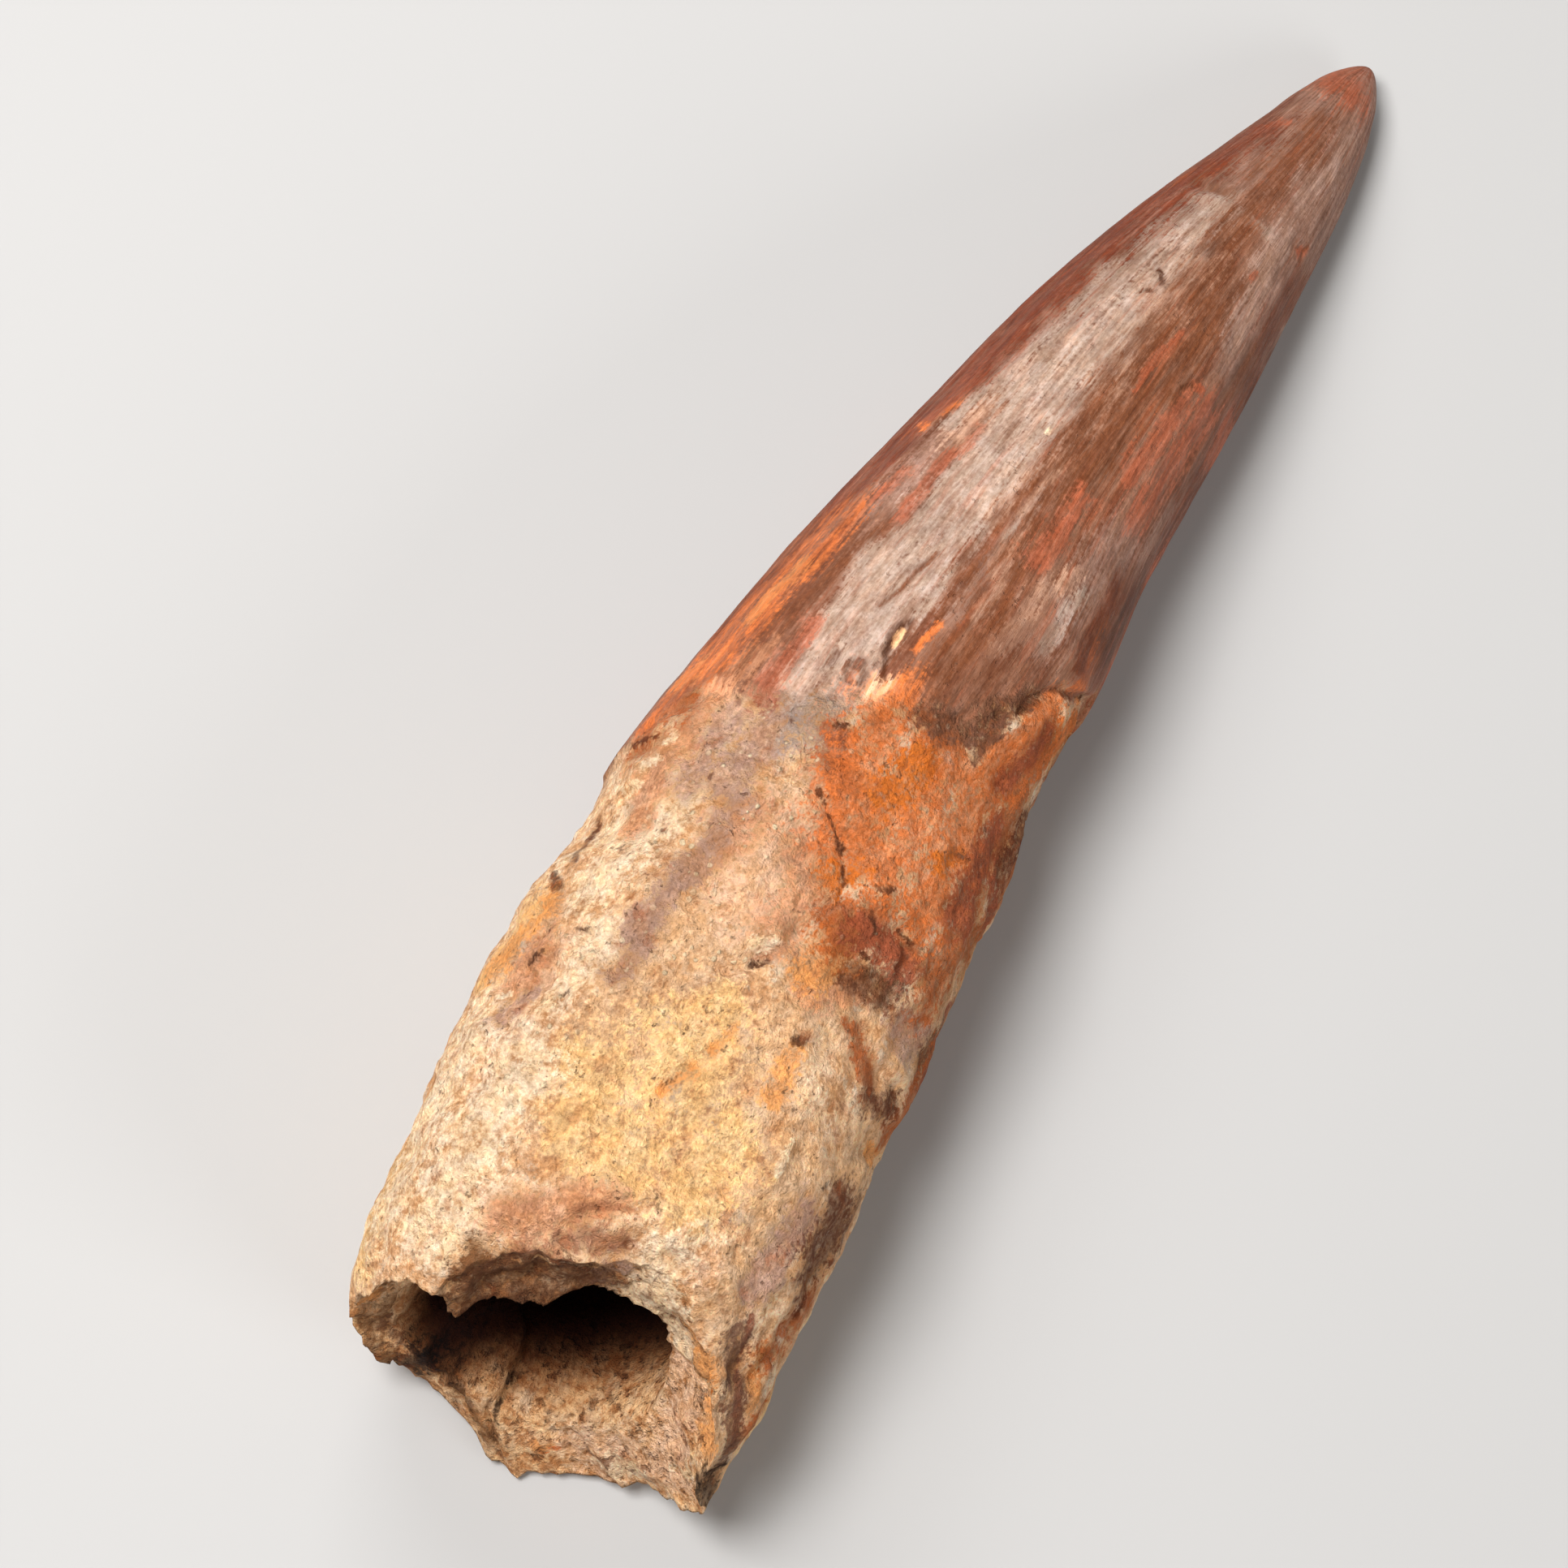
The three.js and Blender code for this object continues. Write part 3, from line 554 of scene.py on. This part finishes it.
    # Brown crumbs that are partly painted shade: the hollow under the lip at 276 to 356 degrees and the
    # recess at 14 to 46 degrees.
    "loam_and_shade": ((134, 94, 58), [
        (3, [(-0.5, 322), (-2, 348)]), (2.4, [(-6, 340), (-7, 356)]), (3, [(-5, 276), (-7, 296)]),
        (2, [(-1, 14), (0, 46)]), (1, [(5.4, 54), (8, 59)]),
    ]),
    # Brown crumbs that are partly painted shade, under the overhanging lip of the break from 60 to 94
    # degrees and at 320 to 334 degrees.
    "cocoa_and_shade": ((118, 80, 54), [
        (2.2, [(-6, 320), (-7, 334)]), (3, [(4, 61), (6, 94)]), (3, [(1, 60), (3, 94)]),
        (3, [(-1.6, 62), (1, 92)]), (2.4, [(-4.5, 64), (-4, 76)]),
    ]),
    # Dun patches; the first stroke is a painted shadow below a step at 79 to 93 degrees.
    "dun_and_step_shadow": ((182, 134, 104), [
        (0.35, [(14.4, 79), (15.8, 84), (17.2, 93)]), (1.2, [(12, 80), (13.2, 86), (14.2, 94)]),
        (1, [(9.6, 70), (10.6, 78)]),
    ]),
    # Painted shade, nearly black, in hollows: the chip beside the break at 165 to 190 degrees, the cavity
    # under the lip at 310 degrees, and a crack at 270 degrees.
    "black_shade": ((50, 30, 18), [
        (2.2, [(0.5, 310), (-8, 311)]), (1.2, [(6, 181), (4.4, 188)]), (1, [(4.8, 181), (3.6, 186)]),
        (1.1, [(4.2, 165), (3.4, 177)]), (0.3, [(-15, 271), (-11, 267.5), (-9, 267)]),
    ]),
    "cream": ((254, 236, 204), [
        (1, [(12, 50), (24, 53)]), (0.3, [(49.2, 18), (48.5, 28), (49.6, 33)]),
        (0.4, [(51, 32), (52, 36)]), (0.45, [(53.4, 35), (54.6, 36)]), (0.6, [(40.4, 89), (41.4, 93)]),
        (0.25, [(25.5, 121), (28.5, 121.5)]), (0.3, [(28, 29), (28.6, 31)]), (0.3, [(95.2, 82)]),
        (0.8, [(-0.6, 185), (-1.8, 196)]),
    ]),
    "sand": ((236, 194, 148), [
        (0.35, [(70, 81.6), (71.3, 81.6)]), (0.3, [(40.4, 138), (40.6, 150), (39.4, 156)]),
    ]),
}
# Round the tooth, how far in from the break's outer edge painted shade starts to darken the cavity.
PAINTED_SHADE_FROM = [
    (0, 12), (40, 10), (52, 8), (92, 8), (105, 10.5), (150, 11), (185, 12), (215, 12.5), (230, 12.5),
    (250, 11.5), (265, 11), (280, 10), (290, 8.5), (300, 6), (310, 4), (322, 7), (335, 9.5), (350, 12),
    (360, 12),
]
# Where sand grains still stick: half width and the points that a stretch runs through.
GRAINS = [
    (4, [(45, 58), (57, 70)]), (2.5, [(20, 52), (36, 50)]), (3, [(34, 74), (40, 86)]),
    (2, [(49, 78), (54, 80)]),
]

STAIN_WANDER_SIZE = 4
STAIN_WANDER_ALONG, STAIN_WANDER_ROUND = 1.2, 0.9
CROWN_BLEND = 5
BREAK_BLEND = 0.6
# The painted shade of the cavity: how softly it sets in, and how far on it turns nearly black.
SHADE_BLEND = (-3, 4)
DEEP_SHADE_BLEND = (0, 8)

phi = np.radians(angle)
grown = np.stack([along_skin, MEAN_RADIUS * np.cos(phi), MEAN_RADIUS * np.sin(phi)], 1)
local_radius = (along(FRONT, along_skin) - along(BACK, along_skin) + along(UPPER, along_skin)) / 4
crown_start = broken(ENAMEL_END, angle)
fields = {name: np.zeros(len(angle)) for name in STAINS}
wander_along, wander_round = [lumps(grown + shift, STAIN_WANDER_SIZE, 3) for shift in (0, 60)]
for name, (_, strokes) in STAINS.items():
    for half_width, points in strokes:
        bend = min(1, 0.25 + half_width / 2)
        stain_x = along_skin + STAIN_WANDER_ALONG * bend * wander_along
        stain_angle = angle + np.degrees(STAIN_WANDER_ROUND * bend * wander_round / local_radius)
        stroke = nearness(stain_x, stain_angle, local_radius, half_width, points)
        fields[name] = np.maximum(fields[name], stroke)
fields["grains"] = sum(nearness(along_skin, angle, local_radius, *stretch) for stretch in GRAINS)
fields["crown"] = smoothstep(along_skin, crown_start - CROWN_BLEND, crown_start + CROWN_BLEND)
fields["broken"] = smoothstep(outer_edge - along_skin, -BREAK_BLEND, BREAK_BLEND)
# Painted shade in place of the shadow inside the pulp cavity: dim past its start, nearly black further in.
past_shade_start = outer_edge - along_skin - broken(PAINTED_SHADE_FROM, angle)
fields["cavity_shade"] = smoothstep(past_shade_start, *SHADE_BLEND)
fields["hollow"] = smoothstep(past_shade_start, *DEEP_SHADE_BLEND)
for name, values in fields.items():
    tooth_mesh.attributes.new(name, "FLOAT", "POINT").data.foreach_set("value", values.astype(np.float32))
growth_places = tooth_mesh.attributes.new("grown", "FLOAT_VECTOR", "POINT")
growth_places.data.foreach_set("vector", grown.astype(np.float32).ravel())


def pigment(red, green, blue):
    """A colour as it is seen, 0 to 255, as the shader's linear light."""
    shares = [value / 255 for value in (red, green, blue)]
    return tuple(s / 12.92 if s < 0.04045 else ((s + 0.055) / 1.055) ** 2.4 for s in shares) + (1,)


class Tone:
    """A shader socket that arithmetic works on, each operator adding its Math node."""

    def __init__(self, tree, socket=None):
        self.tree, self.socket = tree, socket

    def node(self, kind, settings=(), sockets=(), output=0):
        made = self.tree.nodes.new("ShaderNode" + kind)
        for name, value in dict(settings).items():
            setattr(made, name, value)
        for name, value in dict(sockets).items():
            if isinstance(value, Tone):
                self.tree.links.new(value.socket, made.inputs[name])
            else:
                made.inputs[name].default_value = value
        return Tone(self.tree, made.outputs[output])

    def maths(self, operation, first, second):
        return self.node("Math", {"operation": operation}, {0: first, 1: second})

    def __add__(self, other):
        return self.maths("ADD", self, other)

    def __sub__(self, other):
        return self.maths("SUBTRACT", self, other)

    def __rsub__(self, other):
        return self.maths("SUBTRACT", other, self)

    def __mul__(self, other):
        return self.maths("MULTIPLY", self, other)

    __radd__ = __add__
    __rmul__ = __mul__

    def field(self, name, output="Fac"):
        """A value that is stored on the tooth's own mesh."""
        return self.node("Attribute", {"attribute_name": name}, output=output)

    def stretched(self, factors):
        return self.node("VectorMath", {"operation": "MULTIPLY"}, {0: self, 1: factors})

    def noise(self, size, detail, roughness):
        """Cloudy patches of about one size."""
        sockets = {"Vector": self, "Scale": 1 / size, "Detail": detail, "Roughness": roughness}
        return self.node("TexNoise", sockets=sockets)

    def smooth(self, low, high):
        """0 below the low value, 1 above the high one, and an easy slope between them."""
        sockets = {"Value": self, "From Min": low, "From Max": high}
        return self.node("MapRange", {"interpolation_type": "SMOOTHSTEP"}, sockets)

    def mixed(self, colour, share, blend="MIX"):
        """This colour under a share of another."""
        settings = {"data_type": "RGBA", "blend_type": blend}
        return self.node("Mix", settings, {0: share, 6: self, 7: colour}, 2)

    def tint(self, low, high):
        """From one colour at 0 to another at 1."""
        return self.node("Mix", {"data_type": "RGBA"}, {0: self, 6: low, 7: high}, 2)

    def between(self, low, high):
        """From one number at 0 to another at 1."""
        return low + (high - low) * self

    def channels(self):
        """Three independent values from a noise's colour."""
        colour = Tone(self.tree, self.socket.node.outputs["Color"])
        split = self.node("SeparateColor", sockets={0: colour})
        return [Tone(self.tree, output) for output in split.socket.node.outputs]


# The tooth's colours. Those that multiply others are plain shares of the light.
BONE = pigment(254, 226, 190)
BONE_DARK = pigment(234, 186, 140)
MAHOGANY = pigment(120, 75, 54)
MAHOGANY_GREY = pigment(146, 110, 92)
MAHOGANY_DARK = pigment(84, 50, 36)
CRUMB = pigment(252, 218, 174)
CRUMB_DARK = pigment(222, 168, 118)
SAND = pigment(250, 232, 196)
PORE = pigment(112, 72, 50)
# Painted shade for the pulp cavity: a dim share at its mouth, and a nearly black one deep inside.
CAVITY_SHADE_TONE = (0.6, 0.47, 0.37, 1)
DEEP_SHADE_TONE = (0.2, 0.12, 0.07, 1)
WHITE = (1, 1, 1, 1)
BROWNER = (0.76, 0.67, 0.59, 1)
PALER = (1.28, 1.27, 1.26, 1)
WARM = (1.1, 0.98, 0.85, 1)
COOL = (1.02, 1, 1.03, 1)
RUSTY = pigment(160, 86, 56)
PALE = pigment(190, 164, 148)
FLECK_BROWN = pigment(180, 108, 66)
FLECK_CREAM = pigment(255, 244, 222)

# The sizes of its patterns in millimetres. A stretch of 0.1 makes a pattern of the crown ten times as long,
# along its growth, as it is wide.
PATCH_SIZE = 4.5
FINE_SIZE = 0.9
GRIT_SIZE = 0.42
FLECK_SIZE = 2.6
TINT_SIZE = 1.6
SPECK_SIZE = 0.7
PIT_SIZE = 1.3
SAND_SIZE = 0.7
BUMP_GRAIN_SIZE = 0.4
STREAK_SIZE, STREAK_STRETCH = 1.7, 0.06
HAIRLINE_SIZE, HAIRLINE_STRETCH = 0.6, 0.08
WEATHERED_SIZE, WEATHERED_STRETCH = 1.2, 0.3
RUST_STREAK_SIZE, RUST_STREAK_STRETCH = 1.2, 0.1
RAGGED_ROOT, RAGGED_CROWN, RAGGED_GRIT = 2, 1.6, 3.2
ROOT_ROUGHNESS, CROWN_ROUGHNESS = 0.85, 0.55
SPECULAR = 0.14
BUMP_DEPTH = 0.0011

fossil = bpy.data.materials.new("mineralised_tooth")
fossil.use_nodes = True
tree = fossil.node_tree
shader = tree.nodes["Principled BSDF"]
start = Tone(tree)
millimetres = start.node("TexCoord", output="Object").stretched((1000, 1000, 1000))
growth = start.field("grown", "Vector")
patches = millimetres.noise(PATCH_SIZE, 6, 0.65)
streaks = growth.stretched((STREAK_STRETCH, 1, 1)).noise(STREAK_SIZE, 6, 0.7)
hairlines = growth.stretched((HAIRLINE_STRETCH, 1, 1)).noise(HAIRLINE_SIZE, 4, 0.7)
weathered = growth.stretched((WEATHERED_STRETCH, 1, 1)).noise(WEATHERED_SIZE, 5, 0.75)
fine = millimetres.noise(FINE_SIZE, 4, 0.7)
grain = millimetres.noise(GRIT_SIZE, 2, 0.6)
crown = (start.field("crown") + (patches - 0.5) * 1.2).smooth(0.3, 0.7)
broken_face = start.field("broken")

bone = (patches * 0.6 + fine * 0.4).smooth(0.38, 0.58).tint(BONE_DARK, BONE)
enamel = streaks.smooth(0.4, 0.6).tint(MAHOGANY, MAHOGANY_GREY)
enamel = enamel.mixed(MAHOGANY_DARK, hairlines.smooth(0.52, 0.72) * 0.7)
crumbs = (fine * 0.7 + patches * 0.3).smooth(0.4, 0.56).tint(CRUMB_DARK, CRUMB)
skin = bone.mixed(enamel, crown).mixed(crumbs, broken_face)
ragged = [
    (patch - 0.5) * RAGGED_ROOT * (1 - crown) + (streak - 0.5) * RAGGED_CROWN * crown
    for patch, streak in zip(patches.channels(), streaks.channels())
]
brown_flecks, cream_flecks, _ = millimetres.noise(FLECK_SIZE, 7, 0.72).channels()
skin = skin.mixed(FLECK_CREAM, cream_flecks.smooth(0.54, 0.64) * (1 - crown) * (0.7 - broken_face * 0.35))
grit = (fine * (1 - crown) + hairlines * crown) * 0.6 + grain * 0.4
worn = [
    (patch * (1 - crown) + streak * crown).smooth(0.36, 0.6)
    for patch, streak in zip(fine.channels(), weathered.channels())
]
for number, (name, (colour, _)) in enumerate(STAINS.items()):
    field = start.field(name)
    stain = (field + ragged[number % 3] + (grit - 0.5) * RAGGED_GRIT).smooth(0.22, 0.85)
    cover = 0.95 - (1 - worn[(number + 1) % 3]) * (crown * 0.3 + 0.25)
    skin = skin.mixed(pigment(*colour), stain * field.smooth(0.01, 0.25) * cover)

rust_streaks = growth.stretched((RUST_STREAK_STRETCH, 1, 1)).noise(RUST_STREAK_SIZE, 5, 0.7)
rusty, pale, _ = rust_streaks.channels()
skin = skin.mixed(RUSTY, rusty.smooth(0.54, 0.68) * crown * 0.35)
skin = skin.mixed(PALE, pale.smooth(0.5, 0.75) * crown * 0.2)
skin = skin.mixed(FLECK_BROWN, brown_flecks.smooth(0.55, 0.65) * (1 - crown) * 0.45)
tint = millimetres.noise(TINT_SIZE, 4, 0.6).smooth(0.35, 0.65).tint(WARM, COOL)
skin = skin.mixed(tint, 1 - crown * 0.6, "MULTIPLY")
specks = millimetres.noise(SPECK_SIZE, 3, 0.6).smooth(0.62, 0.7)
specks = specks * (1 - crown * 0.8) * patches.smooth(0.4, 0.6)
skin = skin.mixed(PORE, specks * 0.6)
pits = millimetres.noise(PIT_SIZE, 4, 0.65).smooth(0.56, 0.66) * broken_face * (1 - crown)
skin = skin.mixed(PORE, pits * 0.48)
cells = millimetres.node("TexVoronoi", sockets={"Vector": millimetres, "Scale": 1 / SAND_SIZE})
pick, size, _ = cells.channels()
sand = (size.between(0, 0.5) - cells).smooth(0, 0.2) * pick.smooth(0.6, 0.75)
sand = sand * (start.field("grains") * 0.8 + 0.12 * (1 - crown))
skin = skin.mixed(SAND, sand)
skin = skin.mixed(CAVITY_SHADE_TONE, start.field("cavity_shade"), "MULTIPLY")
# Painted shade, laid on twice, so that the deep cavity ends nearly black.
for _ in range(2):
    skin = skin.mixed(start.field("hollow").tint(WHITE, DEEP_SHADE_TONE), 1.0, "MULTIPLY")
bumpy = (1 - crown) * (1 - start.field("cavity_shade") * 0.5)
mottling = [
    (fine, 0.3, 0.7, bumpy * 0.8), (grain, 0.3, 0.7, bumpy * 0.6 + crown * 0.5),
    (hairlines, 0.3, 0.7, crown * 0.5), (weathered, 0.35, 0.65, crown * 0.8), (patches, 0.3, 0.7, 0.5),
]
for pattern, brown_end, pale_end, strength in mottling:
    mottled = pattern.smooth(brown_end, pale_end).tint(BROWNER, PALER)
    skin = skin.mixed(mottled, strength, "MULTIPLY")

crumbling = fine * (broken_face * 0.4 + 0.5)
grain_height = (millimetres.noise(BUMP_GRAIN_SIZE, 4, 0.7) * 0.8 + crumbling - cells * 0.25) * (1 - crown)
crown_height = (hairlines * 0.12 + fine * 0.1 + weathered * 0.12) * crown
height = grain_height + crown_height + sand * 0.25 - specks * 0.4 - pits * 0.4
relief_bump = start.node("Bump", sockets={"Strength": 1.0, "Distance": BUMP_DEPTH, "Height": height})
roughness = crown.between(ROOT_ROUGHNESS, CROWN_ROUGHNESS) + (fine - 0.5) * 0.3
tree.links.new(skin.socket, shader.inputs["Base Color"])
tree.links.new(roughness.socket, shader.inputs["Roughness"])
tree.links.new(relief_bump.socket, shader.inputs["Normal"])
shader.inputs["Specular IOR Level"].default_value = SPECULAR
tooth_mesh.materials.append(fossil)

# The floor that the tooth lies on: one plain board with a matt, pale grey coat of paint, a few metres wide.
# It is only the stage that the tooth is shown on, and no part of it.
FLOOR_HALF_WIDTH = 4
FLOOR_COLOUR = (0.5, 0.49, 0.48, 1)
FLOOR_ROUGHNESS = 0.8

floor_mesh = bpy.data.meshes.new("floor")
board = bmesh.new()
bmesh.ops.create_grid(board, x_segments=1, y_segments=1, size=FLOOR_HALF_WIDTH)
board.to_mesh(floor_mesh)
board.free()
floor = bpy.data.objects.new("floor", floor_mesh)
bpy.context.scene.collection.objects.link(floor)
paint = bpy.data.materials.new("pale_floor")
paint.use_nodes = True
paint_shader = paint.node_tree.nodes["Principled BSDF"]
paint_shader.inputs["Base Color"].default_value = FLOOR_COLOUR
paint_shader.inputs["Roughness"].default_value = FLOOR_ROUGHNESS
floor_mesh.materials.append(paint)

# Soft studio light: a strong softbox nearly overhead, a weak one from beyond the tip, a weak wide one
# from the other side, and a dim warm room. Metres, and directions from the middle of the tooth.
MIDDLE = (cad_low + cad_high) / 2
ROOM_COLOUR = (1, 0.98, 0.95, 1)
ROOM_STRENGTH = 0.16


def softbox(name, direction, distance, width, height, watts):
    data = bpy.data.lights.new(name, "AREA")
    data.shape = "RECTANGLE"
    data.size, data.size_y = width, height
    data.energy = watts
    lamp = bpy.data.objects.new(name, data)
    toward = Vector(direction).normalized()
    lamp.location = MIDDLE + toward * distance
    lamp.rotation_euler = toward.to_track_quat("Z", "Y").to_euler()
    bpy.context.scene.collection.objects.link(lamp)


softbox("key", (0.5, 0.6, 0.62), distance=0.7, width=0.4, height=0.25, watts=2.1)
softbox("overhead", (-0.25, 0.38, 0.88), distance=0.8, width=0.3, height=0.3, watts=7.6)
softbox("fill", (-0.15, -0.9, 0.5), distance=0.8, width=0.5, height=0.3, watts=2)
room = bpy.data.worlds.new("room")
room.use_nodes = True
room.node_tree.nodes["Background"].inputs["Color"].default_value = ROOM_COLOUR
room.node_tree.nodes["Background"].inputs["Strength"].default_value = ROOM_STRENGTH
bpy.context.scene.world = room

# The camera looks down on the lying tooth from the root's side, turned so that the tip points up
# and to the right in the picture. The lens and the sensor are in millimetres, and the rest in metres.
LENS = 120
SENSOR = 36
NEAREST, FARTHEST = 0.01, 20
ELEVATION = math.radians(70)
ROLL = math.radians(31.6)
DISTANCE = 0.437
AIM = Vector((-0.01725, 0.00603, 0.014))
ahead = Vector((math.cos(ELEVATION), 0, -math.sin(ELEVATION)))
level_right = Vector((0, -1, 0))
level_up = level_right.cross(ahead)
right = level_right * math.cos(ROLL) + level_up * math.sin(ROLL)
up = level_up * math.cos(ROLL) - level_right * math.sin(ROLL)
camera_data = bpy.data.cameras.new("camera")
camera_data.lens = LENS
camera_data.sensor_width = SENSOR
camera_data.clip_start = NEAREST
camera_data.clip_end = FARTHEST
camera = bpy.data.objects.new("camera", camera_data)
turned = Matrix((right, up, -ahead)).transposed().to_4x4()
camera.matrix_world = Matrix.Translation(AIM - ahead * DISTANCE) @ turned
bpy.context.scene.collection.objects.link(camera)
bpy.context.scene.camera = camera
bpy.context.scene.view_settings.view_transform = "Standard"
